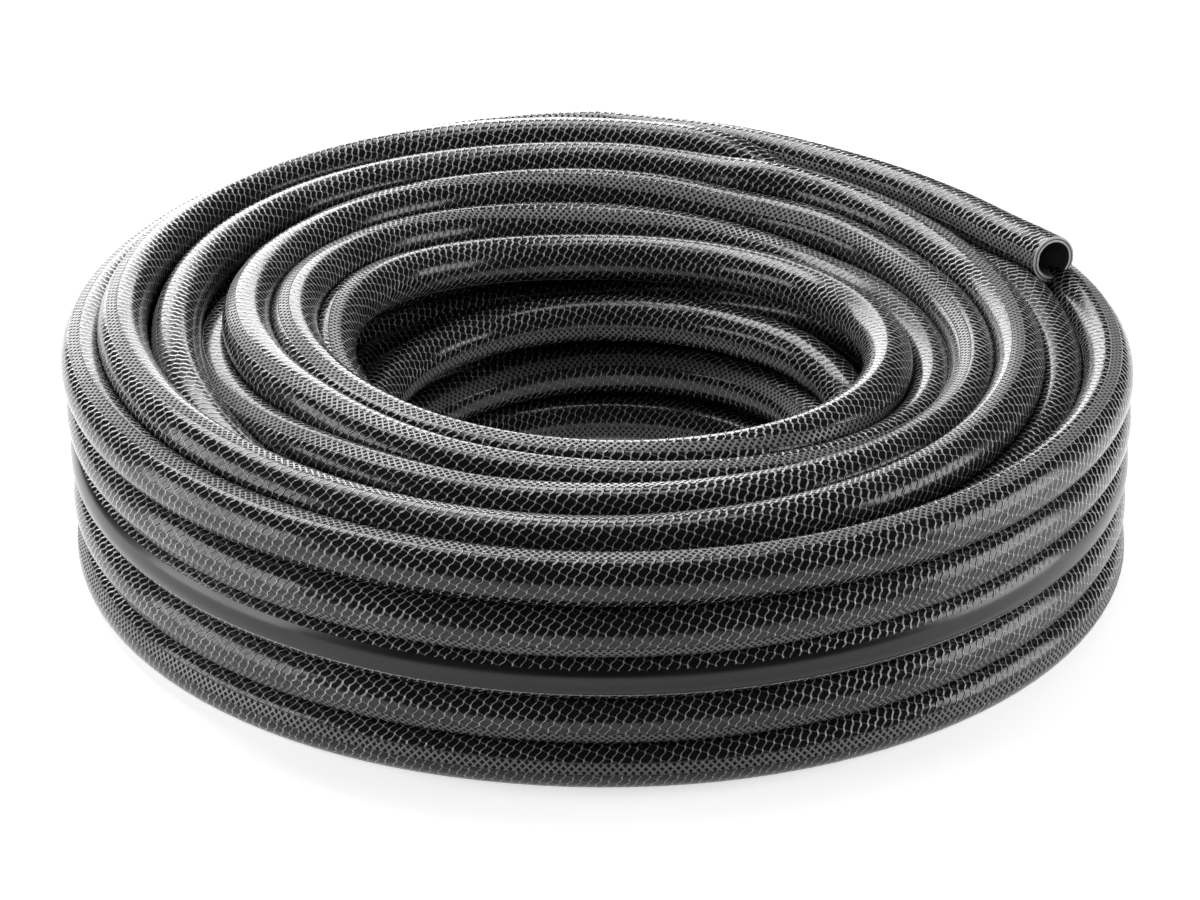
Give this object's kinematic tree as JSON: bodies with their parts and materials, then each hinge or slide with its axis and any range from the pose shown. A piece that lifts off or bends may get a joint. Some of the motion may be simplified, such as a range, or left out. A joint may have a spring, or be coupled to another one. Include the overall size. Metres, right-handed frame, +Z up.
{
  "type": "garden hose coil",
  "caption": "Reinforced garden hose of 12.7 mm bore, wound in a round coil that lies flat, with two bare cut ends and an open eye.",
  "frame": {"origin": "on the surface the coil lies on, at the middle of the turns", "axes": "+Z up along the coil's axis, +X to the side where the free end lies, -Y to the picture's camera"},
  "size_m": [0.3679, 0.3695, 0.0915],
  "materials": {
    "hose_cover_black": "glossy soft PVC over a knitted yarn",
    "inner_turns_black": "the same hose, in the shade of the outer turns",
    "reinforcement_yarn": "knitted polyester yarn",
    "liner_dark": "dull dark soft PVC"
  },
  "bodies": {
    "root": {"coil_turns": "hose_cover_black", "coil_core": "inner_turns_black", "free_end_cover": "hose_cover_black", "free_end_reinforcement": "reinforcement_yarn", "free_end_liner": "liner_dark", "eye_end_cover": "hose_cover_black", "eye_end_reinforcement": "reinforcement_yarn", "eye_end_liner": "liner_dark"}
  },
  "joints": []
}
